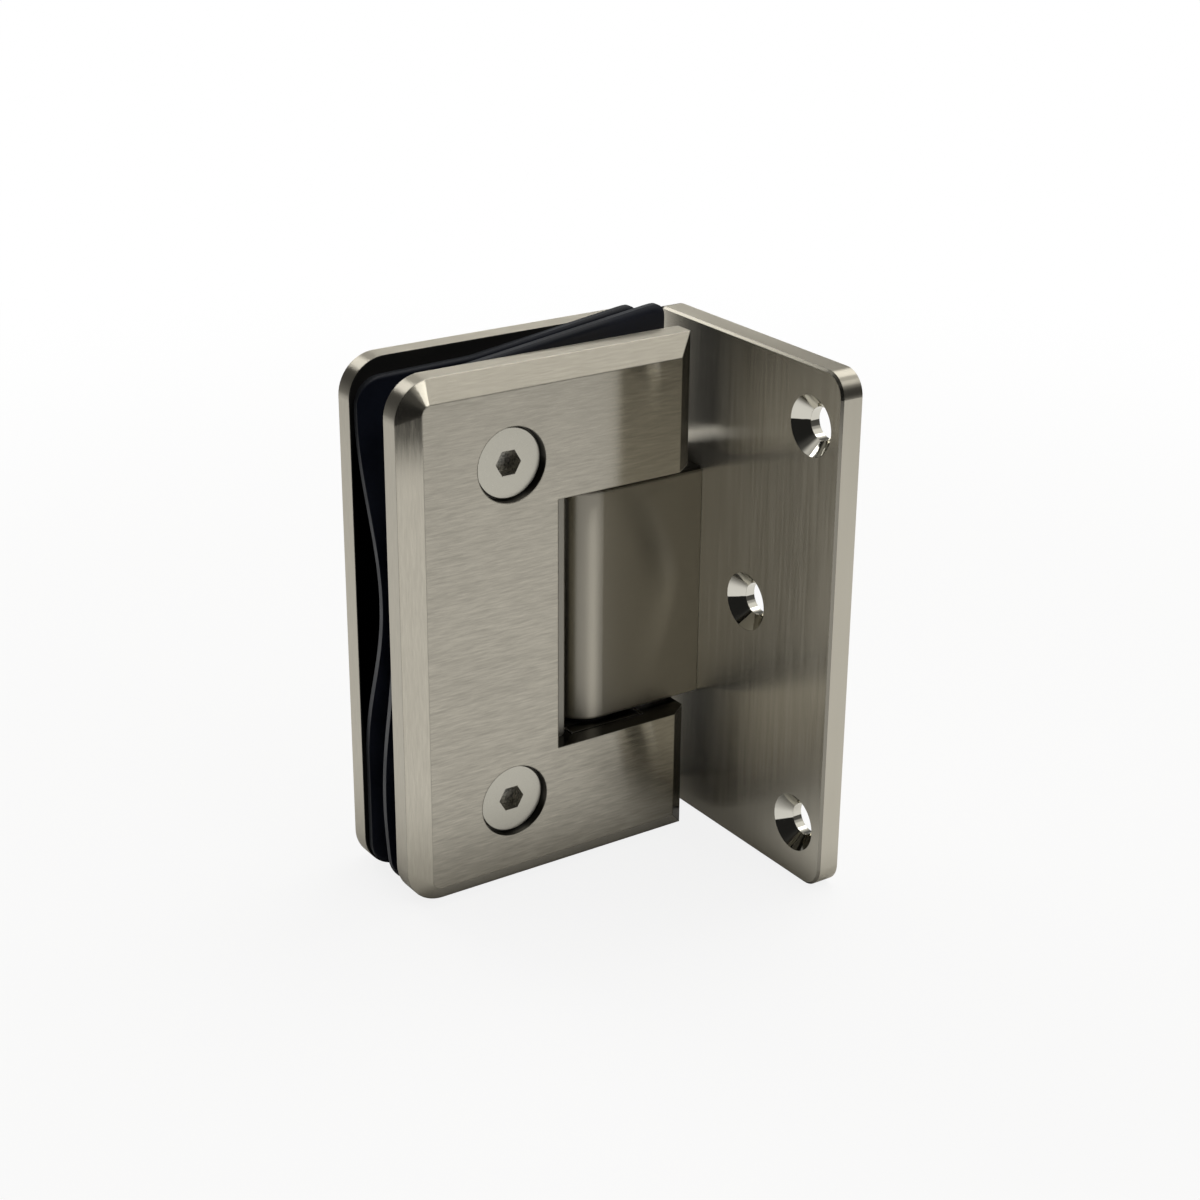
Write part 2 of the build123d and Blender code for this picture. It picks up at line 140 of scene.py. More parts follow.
# Brushed finishes: roughness and stroke contrast
CLAMP_ROUGHNESS = 0.17
WALL_ROUGHNESS = 0.24
BLOCK_ROUGHNESS = 0.32
POLISHED_ROUGHNESS = 0.07
INNER_ROUGHNESS = 0.32
MILLED_ROUGHNESS = (0.28, 0.14)
CLAMP_CONTRAST = 0.13
WALL_CONTRAST = 0.03

# Strokes: fine hairs and broader streaks, longer and coarser on the wall plate
HAIR_LENGTH = 2.2 * MM
HAIR_WIDTH = 0.16 * MM
HAIR_REACH = 0.25
HAIR_ROUGHNESS = 0.015
STREAK_LENGTH = 4.2 * MM
STREAK_WIDTH = 0.42 * MM
STREAK_DETAIL = 3.0
STREAK_ROUGHNESS = 0.02
STREAK_RELIEF = 0.5
WALL_STROKE_STRETCH = 5.5
WALL_STROKE_COARSENESS = 1.8
BLOTCHES_PER_METRE = 90.0
BLOTCH_TONE = (0.98, 1.02)
BRUSHED_BUMP = (0.004 * MM, 0.45)

# Tilt of a surface: 1 on a plate's faces, 0 on its rims, and bevels between them
FACE_TILT = 0.98
BEVEL_TILT = 0.90
FACING_TILT = 0.7
RIM_TILT = 0.5
SQUARE_RIM_TILT = 0.3
ROUND_EDGE_TILT = 0.2

# What changes on bevels, rims and edges
# Rims and bevels are painted lighter than the faces: painted highlight
EDGE_PAINTED_LIGHT = 1.18
EDGE_CONTRAST = 0.4
EDGE_RELIEF = 0.15
EDGE_RADIUS = 0.3 * MM
WALL_EDGE_RADIUS = 0.08 * MM
EDGE_SAMPLES = 6
EDGE_WEAR_RANGE = (0.995, 0.90)
EDGE_WEAR = 0.30
EDGE_SOIL = 0.45
EDGE_ROUGHNESS = 0.25
RIM_ROUGHNESS = 0.14
# The wall plate's bevels are darkened: painted shade that dims their highlight
WALL_BEVEL_SHADE = 0.45

# Clamp plates: the side that looks at the wall plate, darkened as painted shade, and the upright and level
# walls of the notch, the level ones darkened as painted shade
WALL_SIDE_TILT = 0.4
WALL_SIDE_SHADE = 0.5
UPRIGHT_TILT = 0.5
LEVEL_TILT = 0.5
LEVEL_RANGE = (0.4, 0.6)

# Turned screw heads
TURNED_RING_WIDTH = 0.12 * MM
TURNED_GRAIN_SIZE = 0.16 * MM
TURNED_DETAIL = 3.0
TURNED_RING_TONE = (0.98, 1.02)
TURNED_GRAIN_TONE = (0.96, 1.03)
TURNED_ROUGHNESS = (0.27, 0.35)
TURNED_EDGE_RADIUS = 0.12 * MM
TURNED_WEAR = 0.5
TURNED_BUMP = (0.003 * MM, 0.5)
SOCKET_DIRT_SIZE = 0.35 * MM
SOCKET_DIRT_DETAIL = 4.0
SOCKET_DIRT_REACH = 0.15
SOCKET_DIRT_TONE = (0.5, 1.5)
SOCKET_ROUGHNESS = 0.08

# Small steel parts: colour, size of the grain and roughness
STEELS = {
    "plated_steel": ((0.50, 0.50, 0.48), 0.3 * MM, 0.32),
    "ground_steel": ((0.56, 0.55, 0.53), 0.15 * MM, 0.25),
    "dark_steel": ((0.10, 0.10, 0.105), 0.25 * MM, 0.45),
    "spring_steel": ((0.42, 0.41, 0.40), 0.2 * MM, 0.3),
}
STEEL_DETAIL = 4.0
STEEL_TONE = (0.88, 1.1)
STEEL_SMOOTHEST = -0.06
STEEL_ROUGHEST = 0.08
STEEL_EDGE_RADIUS = 0.1 * MM
STEEL_WEAR = 0.4
STEEL_BUMP = (0.004 * MM, 0.4)

# Moulded rubber and nylon
PEBBLE_SIZE = 0.45 * MM
PEBBLE_TONE = (0.8, 1.2)
SMEARS_PER_METRE = 110.0
SMEAR_TONE = (0.8, 1.25)
RUBBER_ROUGHNESS = (0.42, 0.58)
RUBBER_SPECULAR = 0.4
RUBBER_FACE_BUMP = (0.02 * MM, 0.25)
RUBBER_EDGE_BUMP = (0.02 * MM, 0.35)
NYLON_GRAIN_SIZE = 0.5 * MM
NYLON_TONE = (0.92, 1.06)
NYLON_ROUGHNESS = (0.32, 0.45)
NYLON_BUMP = (0.01 * MM, 0.3)
NYLON_CLEARNESS = 0.35
MOULDED_DETAIL = 3.0

# Places on the hinge
OUTER_HOLE_Y = -34.7 * MM
OUTER_HOLE_Z = 35.0 * MM
MIDDLE_HOLE_Y = -19.7 * MM
SINK_RADIUS = 5.02 * MM
SOCKET_CORNER_RADIUS = 2.36 * MM
RECESS_RADIUS = 6.3 * MM
NOTCH_LEFT = -36.0 * MM
NOTCH_HALF = 22.0 * MM
LUG_HALF_WIDTH = 7.0 * MM
LUG_TOP = 34.0 * MM
PIN_X = -24.0 * MM
SURFACE_MARGIN = 0.02 * MM

# Gaskets: thin sheets on the clamp plates, whose free left edges wave because no glass is fitted
SHEET_THICKNESS = 1.0 * MM
LEFT_CORNER = 4.5 * MM
RIGHT_CORNER = 2.5 * MM
GASKET_RELIEF = 1.0 * MM
GASKET_HOLE = 5.5 * MM
NODE_MARGIN = 0.01 * MM
SLOPE_STEP = 0.01 * MM

# Points (x, z) of the gaskets' sloping upper edges
REAR_TOP = [(-63.0 * MM, 42.0 * MM), (-42.0 * MM, 42.5 * MM), (-10.0 * MM, 46.8 * MM)]
FRONT_TOP = [(-63.0 * MM, 42.9 * MM), (-11.6 * MM, 49.6 * MM)]

# Folds of the left edges: height of the middle, reach up and down, reach inwards, depth along Y
REAR_FOLD = (6.5 * MM, 30.0 * MM, 17.0 * MM, -6.4 * MM)
FRONT_FOLD = (-29.0 * MM, 32.0 * MM, 17.0 * MM, 4.6 * MM)

# Mesh of the gaskets
SHEET_STEP = 1.0 * MM
SNAP_DISTANCE = SHEET_STEP / 10
CORNER_STEPS = 10
END_STEPS = 9
HOLE_RINGS = 4


# Node helpers

class Shader:
    """A node tree with short calls for the nodes that the finishes need."""

    def __init__(self, tree):
        self.tree = tree
        tree.nodes.clear()

    def node(self, kind, **settings):
        made = self.tree.nodes.new(kind)
        for key, value in settings.items():
            setattr(made, key, value)
        return made

    def feed(self, socket, value):
        """Link an output into a socket, or set the socket's own value."""
        if isinstance(value, bpy.types.NodeSocket):
            self.tree.links.new(value, socket)
        elif isinstance(value, (tuple, list)) and len(socket.default_value) == 4 and len(value) == 3:
            socket.default_value = (*value, 1.0)
        else:
            socket.default_value = value

    def feed_all(self, sockets, values):
        for socket, value in zip(sockets, values):
            self.feed(socket, value)

    def math(self, operation, first, second=0.0):
        made = self.node("ShaderNodeMath", operation=operation)
        self.feed_all(made.inputs, (first, second))
        return made.outputs[0]

    def product(self, first, *others):
        for other in others:
            first = self.math("MULTIPLY", first, other)
        return first

    def total(self, first, *others):
        for other in others:
            first = self.math("ADD", first, other)
        return first

    def opposite(self, mask):
        """Turn 1 to 0 and 0 to 1."""
        return self.math("SUBTRACT", 1.0, mask)

    def vector(self, operation, first, second=(0.0, 0.0, 0.0), scale=None):
        made = self.node("ShaderNodeVectorMath", operation=operation)
        self.feed_all(made.inputs, (first, second))
        if scale is not None:
            self.feed(made.inputs["Scale"], scale)
        scalar = operation in ("DOT_PRODUCT", "LENGTH", "DISTANCE")
        return made.outputs["Value" if scalar else "Vector"]

    def combine(self, x, y, z):
        made = self.node("ShaderNodeCombineXYZ")
        self.feed_all(made.inputs, (x, y, z))
        return made.outputs[0]

    def separate(self, vector):
        made = self.node("ShaderNodeSeparateXYZ")
        self.feed(made.inputs[0], vector)
        return made.outputs

    def own_point(self):
        """Return the point in the object's own space."""
        return self.node("ShaderNodeTexCoord").outputs["Object"]

    def noise(self, vector, scale=1.0, detail=NOISE_DETAIL):
        made = self.node("ShaderNodeTexNoise")
        self.feed(made.inputs["Vector"], vector)
        self.feed(made.inputs["Scale"], scale)
        self.feed(made.inputs["Detail"], detail)
        return made.outputs["Fac"]

    def remap(self, value, low, high, to_low, to_high):
        made = self.node("ShaderNodeMapRange")
        self.feed_all(made.inputs, (value, low, high, to_low, to_high))
        return made.outputs[0]

    def spread(self, noise, low, high, reach=NOISE_REACH):
        """Stretch the middle of a noise, as far as reach from one half, from low to high."""
        return self.remap(noise, 0.5 - reach, 0.5 + reach, low, high)

    def choose(self, mask, off, on):
        """Return one number where a mask is 0 and another where it is 1."""
        return self.remap(mask, 0.0, 1.0, off, on)

    def rise(self, value, start, end):
        """Return a smooth step from 0 at the start to 1 at the end, which may lie below it."""
        made = self.node("ShaderNodeMapRange", interpolation_type="SMOOTHSTEP")
        self.feed_all(made.inputs, (value, start, end, 0.0, 1.0))
        return made.outputs[0]

    def blend(self, factor, first, second):
        """Mix two colours. The node has a pair of inputs for each kind of value, so numbers pick them."""
        made = self.node("ShaderNodeMix", data_type="RGBA")
        self.feed(made.inputs[0], factor)
        self.feed(made.inputs[6], first)
        self.feed(made.inputs[7], second)
        return made.outputs[2]

    def blend_vector(self, factor, first, second):
        made = self.node("ShaderNodeMix", data_type="VECTOR")
        self.feed(made.inputs[0], factor)
        self.feed(made.inputs[4], first)
        self.feed(made.inputs[5], second)
        return made.outputs[1]

    def shade(self, colour, value):
        """Multiply a colour by a number."""
        return self.vector("SCALE", colour, scale=value)

    def mix_shader(self, factor, first, second):
        made = self.node("ShaderNodeMixShader")
        self.feed_all(made.inputs, (factor, first, second))
        return made.outputs[0]


def new_material(name):
    """Return a material and its node helper."""
    material = bpy.data.materials.new(name)
    material.use_nodes = True
    return material, Shader(material.node_tree)


def finish_material(shader, surface):
    out = shader.node("ShaderNodeOutputMaterial")
    shader.feed(out.inputs["Surface"], surface)


def principled(shader, colour, metallic, roughness, normal, anisotropic=0.0, tangent=None, **more):
    made = shader.node("ShaderNodeBsdfPrincipled")
    shader.feed(made.inputs["Base Color"], colour)
    shader.feed(made.inputs["Metallic"], metallic)
    shader.feed(made.inputs["Roughness"], roughness)
    shader.feed(made.inputs["Normal"], normal)
    shader.feed(made.inputs["Anisotropic"], anisotropic)
    if tangent is not None:
        shader.feed(made.inputs["Tangent"], tangent)
    for key, value in more.items():
        shader.feed(made.inputs[key.replace("_", " ")], value)
    return made.outputs[0]


# Finishes

def grain_frame(shader, plate_axis, face_grain):
    """Return the point, its normal, the strokes' direction and the one across them, in object space.

    On faces square to plate_axis the strokes follow face_grain, and elsewhere they run round the edge."""
    coordinates = shader.node("ShaderNodeTexCoord")
    point = coordinates.outputs["Object"]
    normal = coordinates.outputs["Normal"]
    round_edge = shader.vector("CROSS_PRODUCT", plate_axis, normal)
    on_edge = shader.math("GREATER_THAN", shader.vector("LENGTH", round_edge), ROUND_EDGE_TILT)
    strokes = shader.blend_vector(on_edge, face_grain, round_edge)
    strokes = shader.vector("NORMALIZE", strokes)
    across = shader.vector("NORMALIZE", shader.vector("CROSS_PRODUCT", normal, strokes))
    return point, normal, strokes, across


def stroke_noise(shader, place, length, width, detail=NOISE_DETAIL):
    """Return noise drawn out along the strokes. place holds the point and the three directions."""
    point, normal, strokes, across = place
    steps = []
    for direction, size in ((strokes, length), (across, width), (normal, width)):
        steps.append(shader.product(shader.vector("DOT_PRODUCT", point, direction), 1 / size))
    return shader.noise(shader.combine(*steps), detail=detail)


def world_direction(shader, vector):
    made = shader.node("ShaderNodeVectorTransform", vector_type="VECTOR")
    made.convert_from = "OBJECT"
    made.convert_to = "WORLD"
    shader.feed(made.inputs[0], vector)
    return made.outputs[0]


def edge_wear(shader, radius):
    """Return the rounded normal of an edge and how worn the spot is, from 0 to 1."""
    bevel = shader.node("ShaderNodeBevel", samples=EDGE_SAMPLES)
    shader.feed(bevel.inputs["Radius"], radius)
    rounded = bevel.outputs[0]
    geometry = shader.node("ShaderNodeNewGeometry")
    facing = shader.vector("DOT_PRODUCT", rounded, geometry.outputs["Normal"])
    worn = shader.remap(facing, *EDGE_WEAR_RANGE, 0.0, 1.0)
    return rounded, worn


def bumped(shader, height, bump, normal):
    """Return a normal with a relief on it. bump holds the relief's height and strength."""
    distance, strength = bump
    made = shader.node("ShaderNodeBump")
    shader.feed(made.inputs["Strength"], strength)
    shader.feed(made.inputs["Distance"], distance)
    shader.feed(made.inputs["Height"], height)
    shader.feed(made.inputs["Normal"], normal)
    return made.outputs[0]


def near_lines(shader, point, axis, centres, radius):
    """Return 1 near the lines that run along an axis through the centres, each with 0 for that axis."""
    flat = shader.vector("MULTIPLY", point, tuple(1.0 - share for share in axis))
    nearest = None
    for centre in centres:
        distance = shader.vector("DISTANCE", flat, centre)
        nearest = distance if nearest is None else shader.math("MINIMUM", nearest, distance)
    return shader.math("LESS_THAN", nearest, radius)


def hole_mask(shader, point, centres, radius, face_x):
    """Return 1 inside the wall plate's countersinks, and 0 elsewhere."""
    x = shader.separate(point)[0]
    deep = shader.math("GREATER_THAN", x, face_x)
    return shader.product(near_lines(shader, point, X_AXIS, centres, radius), deep)


def recess_mask(shader, point, centres, radius, face_y):
    """Return 1 on the walls of the front clamp plate's screw recesses, and 0 elsewhere."""
    y = shader.separate(point)[1]
    deep = shader.math("GREATER_THAN", y, face_y)
    in_front = shader.math("LESS_THAN", y, 0.0)
    return shader.product(near_lines(shader, point, Y_AXIS, centres, radius), deep, in_front)


def inner_mask(shader, point, half_gap):
    """Return 1 on the plates' inner faces and the lugs between them, and 0 elsewhere."""
    y = shader.separate(point)[1]
    return shader.math("LESS_THAN", shader.math("ABSOLUTE", y), half_gap)


def notch_mask(shader, point, left, half):
    """Return 1 on the walls and the ledge of the notch, and 0 elsewhere."""
    x, _, z = shader.separate(point)
    beside = shader.math("GREATER_THAN", x, left)
    within = shader.math("LESS_THAN", shader.math("ABSOLUTE", z), half)
    return shader.product(beside, within)


def shade_and_mill_parts(shader, point, normal, colour, roughness, half_gap, notch, recesses):
    """Return colour and roughness with painted shade on the clamp plates' wall side, the notch's level
    walls, the inner faces and the recess walls, and the notch's milled finish.
    """
    normal_x, _, normal_z = shader.separate(normal)
    # Faces that look at the wall plate are darkened: painted shade of the narrow gap beside it
    to_wall = shader.math("GREATER_THAN", normal_x, WALL_SIDE_TILT)
    colour = shader.shade(colour, shader.choose(to_wall, 1.0, WALL_SIDE_SHADE))
    level = shader.math("ABSOLUTE", normal_z)
    upright = shader.math("GREATER_THAN", normal_x, UPRIGHT_TILT)
    # In the notch, level walls take the near black nickel as painted shade under the block; other walls are
    # milled, upright ones bright
    milled_and_shaded = shader.blend(shader.math("GREATER_THAN", level, LEVEL_TILT), MILLED_NICKEL, SHADE_NICKEL)
    milled_and_shaded = shader.blend(upright, milled_and_shaded, BRIGHT_NICKEL)
    in_notch = notch_mask(shader, point, *notch)
    colour = shader.blend(in_notch, colour, milled_and_shaded)
    milled_roughness = shader.remap(level, *LEVEL_RANGE, *MILLED_ROUGHNESS)
    roughness = shader.choose(in_notch, roughness, milled_roughness)
    inside = inner_mask(shader, point, half_gap)
    # Inner faces between the plates are darkened: painted shade of the gap
    colour = shader.blend(inside, colour, INNER_SHADE_NICKEL)
    roughness = shader.choose(inside, roughness, INNER_ROUGHNESS)
    # The walls of the screw recesses are darkened: painted shade beside the screw heads
    colour = shader.blend(recess_mask(shader, point, *recesses), colour, SHADE_NICKEL)
    return colour, roughness


def brushed_metal(
    name, base, plate_axis, face_grain, smooth, contrast,
    stretch=1.0, coarse=1.0, edge_radius=EDGE_RADIUS, bevel_shade=1.0, sinks=None, shade_zones=None, shaded_ends=None,
):
    """Satin nickel with long strokes, soft blotches and slightly worn edges; rims and bevels are painted
    lighter, a painted highlight.

    smooth is the faces' roughness, to which rims and edges add. contrast is that of the strokes, which
    stretch draws out and coarse widens. The bevel factor darkens the bevels, a painted shade that dims
    their highlight. sinks, for the wall plate, holds its polished countersinks. The shade zones, for the
    clamp plates, hold the half gap, the notch and the screw recesses, where painted shade darkens the
    inner faces, the notch's level walls and the recess walls, besides the side that looks at the wall
    plate. The ends' colour is that of the faces square to plate_axis, where it differs; on the block it
    is painted shade."""
    material, shader = new_material(name)
    place = grain_frame(shader, plate_axis, face_grain)
    point, normal, _, across = place
    hair = stroke_noise(shader, place, stretch * HAIR_LENGTH, coarse * HAIR_WIDTH)
    streak = stroke_noise(shader, place, stretch * STREAK_LENGTH, coarse * STREAK_WIDTH, STREAK_DETAIL)
    blotch = shader.noise(point, BLOTCHES_PER_METRE)
    rounded, worn = edge_wear(shader, edge_radius)
    tilt = shader.math("ABSOLUTE", shader.vector("DOT_PRODUCT", normal, plate_axis))
    facing = shader.math("GREATER_THAN", tilt, FACING_TILT)

    def off_faces(value):
        """Return 1 on the faces, and the value on bevels and rims."""
        return shader.remap(tilt, FACE_TILT, BEVEL_TILT, 1.0, value)

    tone = shader.product(
        shader.spread(streak, 1 - contrast, 1 + contrast),
        shader.spread(hair, 1 - contrast, 1 + contrast, HAIR_REACH),
        shader.spread(blotch, *BLOTCH_TONE),
    )
    change = shader.product(shader.math("SUBTRACT", tone, 1.0), off_faces(EDGE_CONTRAST))
    colour = shader.shade(base, shader.total(1.0, change))
    rim_wear = shader.product(worn, shader.opposite(facing), EDGE_WEAR)
    colour = shader.blend(rim_wear, colour, BRIGHT_NICKEL)
    soil = shader.product(worn, facing, EDGE_SOIL)
    colour = shader.shade(colour, shader.opposite(soil))
    # Rims and bevels get a lighter colour: painted highlight
    colour = shader.shade(colour, off_faces(EDGE_PAINTED_LIGHT))
    above_rim = shader.math("GREATER_THAN", tilt, RIM_TILT)
    below_face = shader.math("LESS_THAN", tilt, BEVEL_TILT)
    on_bevel = shader.product(above_rim, below_face)
    # Bevels are darkened by the given factor: painted shade that dims their highlight
    colour = shader.shade(colour, shader.choose(on_bevel, 1.0, bevel_shade))
    roughness = shader.total(
        shader.spread(streak, smooth - STREAK_ROUGHNESS, smooth + STREAK_ROUGHNESS),
        shader.spread(hair, -HAIR_ROUGHNESS, HAIR_ROUGHNESS, HAIR_REACH),
        shader.remap(tilt, RIM_TILT, SQUARE_RIM_TILT, 0.0, RIM_ROUGHNESS),
        shader.product(worn, EDGE_ROUGHNESS),
    )
    relief = shader.total(hair, shader.product(streak, STREAK_RELIEF))
    relief = shader.product(relief, off_faces(EDGE_RELIEF))
    # Faces square to the plate axis take their own colour; on the block it is painted shade
    if shaded_ends is not None:
        colour = shader.blend(facing, colour, shaded_ends)
    if sinks is not None:
        polished = hole_mask(shader, point, *sinks)
        colour = shader.blend(polished, colour, BRIGHT_NICKEL)
        roughness = shader.choose(polished, roughness, POLISHED_ROUGHNESS)
        relief = shader.product(relief, shader.opposite(polished))
    if shade_zones is not None:
        colour, roughness = shade_and_mill_parts(shader, point, normal, colour, roughness, *shade_zones)
    surface_normal = bumped(shader, relief, BRUSHED_BUMP, rounded)
    tangent = world_direction(shader, across)
    finish_material(shader, principled(shader, colour, 1.0, roughness, surface_normal, 1.0, tangent))
    return material


def turned_metal(name, axis, centre, colour, socket):
    """Metal turned about an axis, with a darker driver socket: its radius and where its mouth lies in Y."""
    material, shader = new_material(name)
    point = shader.own_point()
    offset = shader.vector("SUBTRACT", point, centre)
    round_axis = shader.vector("NORMALIZE", shader.vector("CROSS_PRODUCT", axis, offset))
    outward = shader.vector("CROSS_PRODUCT", round_axis, axis)
    distance = shader.vector("DOT_PRODUCT", offset, outward)
    ring = shader.product(distance, 1 / TURNED_RING_WIDTH)
    rings = shader.noise(shader.combine(ring, 0.0, 0.0), detail=TURNED_DETAIL)
    grain = shader.noise(point, 1 / TURNED_GRAIN_SIZE, TURNED_DETAIL)
    rounded, worn = edge_wear(shader, TURNED_EDGE_RADIUS)
    tone = shader.product(
        shader.spread(grain, *TURNED_GRAIN_TONE),
        shader.spread(rings, *TURNED_RING_TONE),
    )
    colour = shader.shade(colour, tone)
    colour = shader.blend(shader.product(worn, TURNED_WEAR), colour, BRIGHT_NICKEL)
    socket_radius, mouth_y = socket
    near = shader.math("LESS_THAN", distance, socket_radius)
    deep = shader.math("GREATER_THAN", shader.separate(point)[1], mouth_y)
    inside = shader.product(near, deep)
    dirt = shader.noise(point, 1 / SOCKET_DIRT_SIZE, SOCKET_DIRT_DETAIL)
    dark = shader.shade(SOCKET_STEEL, shader.spread(dirt, *SOCKET_DIRT_TONE, SOCKET_DIRT_REACH))
    colour = shader.blend(inside, colour, dark)
    roughness = shader.total(
        shader.spread(grain, *TURNED_ROUGHNESS),
        shader.product(inside, SOCKET_ROUGHNESS),
    )
    surface_normal = bumped(shader, shader.total(rings, grain), TURNED_BUMP, rounded)
    finish_material(shader, principled(shader, colour, 1.0, roughness, surface_normal))
    return material


def plain_metal(name, colour, grain_size, roughness):
    """Small steel parts with an even fine grain."""
    material, shader = new_material(name)
    grain = shader.noise(shader.own_point(), 1 / grain_size, STEEL_DETAIL)
    rounded, worn = edge_wear(shader, STEEL_EDGE_RADIUS)
    colour = shader.shade(colour, shader.spread(grain, *STEEL_TONE))
    colour = shader.blend(shader.product(worn, STEEL_WEAR), colour, BRIGHT_NICKEL)
    roughness = shader.spread(grain, roughness + STEEL_SMOOTHEST, roughness + STEEL_ROUGHEST)
    surface_normal = bumped(shader, grain, STEEL_BUMP, rounded)
    finish_material(shader, principled(shader, colour, 1.0, roughness, surface_normal))
    return material


def rubber(name, colour, bump):
    """Moulded black rubber sheet with a faint pebble, or its edge, whose lighter colour is a painted
    highlight.
    """
    material, shader = new_material(name)
    point = shader.own_point()
    pebble = shader.noise(point, 1 / PEBBLE_SIZE, MOULDED_DETAIL)
    smear = shader.noise(point, SMEARS_PER_METRE)
    tone = shader.product(shader.spread(pebble, *PEBBLE_TONE), shader.spread(smear, *SMEAR_TONE))
    colour = shader.shade(colour, tone)
    roughness = shader.spread(smear, *RUBBER_ROUGHNESS)
    geometry = shader.node("ShaderNodeNewGeometry")
    surface_normal = bumped(shader, pebble, bump, geometry.outputs["Normal"])
    surface = principled(shader, colour, 0.0, roughness, surface_normal, Specular_IOR_Level=RUBBER_SPECULAR)
    finish_material(shader, surface)
    return material


def nylon(name, colour, clear=0.0):
    """Moulded nylon, milky where it is clear."""
    material, shader = new_material(name)
    grain = shader.noise(shader.own_point(), 1 / NYLON_GRAIN_SIZE, MOULDED_DETAIL)
    colour = shader.shade(colour, shader.spread(grain, *NYLON_TONE))
    roughness = shader.spread(grain, *NYLON_ROUGHNESS)
    geometry = shader.node("ShaderNodeNewGeometry")
    surface_normal = bumped(shader, grain, NYLON_BUMP, geometry.outputs["Normal"])
    surface = principled(shader, colour, 0.0, roughness, surface_normal, Transmission_Weight=clear)
    finish_material(shader, surface)
    return material


def dress(node, material):
    """Give a CAD node one material."""
    for slot in nodes[node].material_slots:
        slot.material = material


def node_centre(node):
    low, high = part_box(node)
    return (low + high) / 2


wall_low, wall_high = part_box("wall_plate")
front_low, front_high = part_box("front_clamp_plate")
rear_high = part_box("rear_clamp_plate")[1]
wall_holes = [
    (0.0, OUTER_HOLE_Y, OUTER_HOLE_Z), (0.0, OUTER_HOLE_Y, -OUTER_HOLE_Z), (0.0, MIDDLE_HOLE_Y, 0.0),
]
upper_screw = node_centre("upper_clamp_screw")
recess_centres = [(upper_screw.x, 0.0, upper_screw.z), (upper_screw.x, 0.0, -upper_screw.z)]
half_gap = -front_high.y + SURFACE_MARGIN
notch = (NOTCH_LEFT - SURFACE_MARGIN, NOTCH_HALF + SURFACE_MARGIN)
recesses = (recess_centres, RECESS_RADIUS, front_low.y + SURFACE_MARGIN)
# The clamp plates get painted shade on their wall side, inner faces, notch level walls and screw recesses
clamp_nickel = brushed_metal(
    "clamp_satin_nickel", NICKEL, Y_AXIS, X_AXIS, CLAMP_ROUGHNESS, CLAMP_CONTRAST,
    shade_zones=(half_gap, notch, recesses),
)
wall_nickel = brushed_metal(
    "wall_satin_nickel", WALL_LIFTED_NICKEL, X_AXIS, Z_AXIS, WALL_ROUGHNESS, WALL_CONTRAST,
    stretch=WALL_STROKE_STRETCH, coarse=WALL_STROKE_COARSENESS, edge_radius=WALL_EDGE_RADIUS,
    bevel_shade=WALL_BEVEL_SHADE, sinks=(wall_holes, SINK_RADIUS, wall_low.x + SURFACE_MARGIN),
)
# The block's top and bottom faces take the near black nickel: painted shade on its ends
block_nickel = brushed_metal(
    "block_satin_nickel", BLOCK_NICKEL, Z_AXIS, X_AXIS, BLOCK_ROUGHNESS, WALL_CONTRAST, shaded_ends=SHADE_NICKEL,
)
steels = {name: plain_metal(name, *recipe) for name, recipe in STEELS.items()}
black_nylon = nylon("black_nylon", BLACK_NYLON)
clear_nylon = nylon("clear_nylon", CLEAR_NYLON, NYLON_CLEARNESS)
rubber_face = rubber("black_rubber_face", RUBBER, RUBBER_FACE_BUMP)
rubber_lit_edge = rubber("black_rubber_lit_edge", RUBBER_LIT_EDGE, RUBBER_EDGE_BUMP)

dress("wall_plate", wall_nickel)
dress("pivot_block", block_nickel)
dress("front_clamp_plate", clamp_nickel)
dress("rear_clamp_plate", clamp_nickel)
dress("pivot_pin", steels["ground_steel"])
for side in ("upper", "lower"):
    screw = f"{side}_clamp_screw"
    socket = (SOCKET_CORNER_RADIUS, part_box(screw)[0].y + SURFACE_MARGIN)
    screw_finish = turned_metal(f"{screw}_nickel", Y_AXIS, tuple(node_centre(screw)), SCREW_NICKEL, socket)
    dress(screw, screw_finish)
    dress(f"{side}_block_screw", steels["plated_steel"])
    dress(f"{side}_bushing", black_nylon)
    dress(f"{side}_washer", black_nylon)
    dress(f"{side}_detent_plunger", black_nylon)
    dress(f"{side}_detent_spring", steels["spring_steel"])
    dress(f"{side}_screw_sleeve", clear_nylon)
    dress(f"{side}_pin_set_screw", steels["dark_steel"])


# Gaskets

def swell(distance, reach):
    """Return a smooth hill that is 1 in its middle and 0 beyond its reach."""
    share = np.clip(np.abs(distance) / reach, 0.0, 1.0)
    return np.cos(share * math.pi / 2) ** 2


def band(start, end, step):
    """Return evenly spaced lines from start up to, but without, end."""
    count = max(1, round((end - start) / step))
    return [start + (end - start) * index / count for index in range(count)]


def corner_drop(reach, radius):
    """Return how far a rounded corner lies below its edge, at a distance from its end."""
    lacking = max(0.0, radius - reach)
    return radius - math.sqrt(radius ** 2 - lacking ** 2)


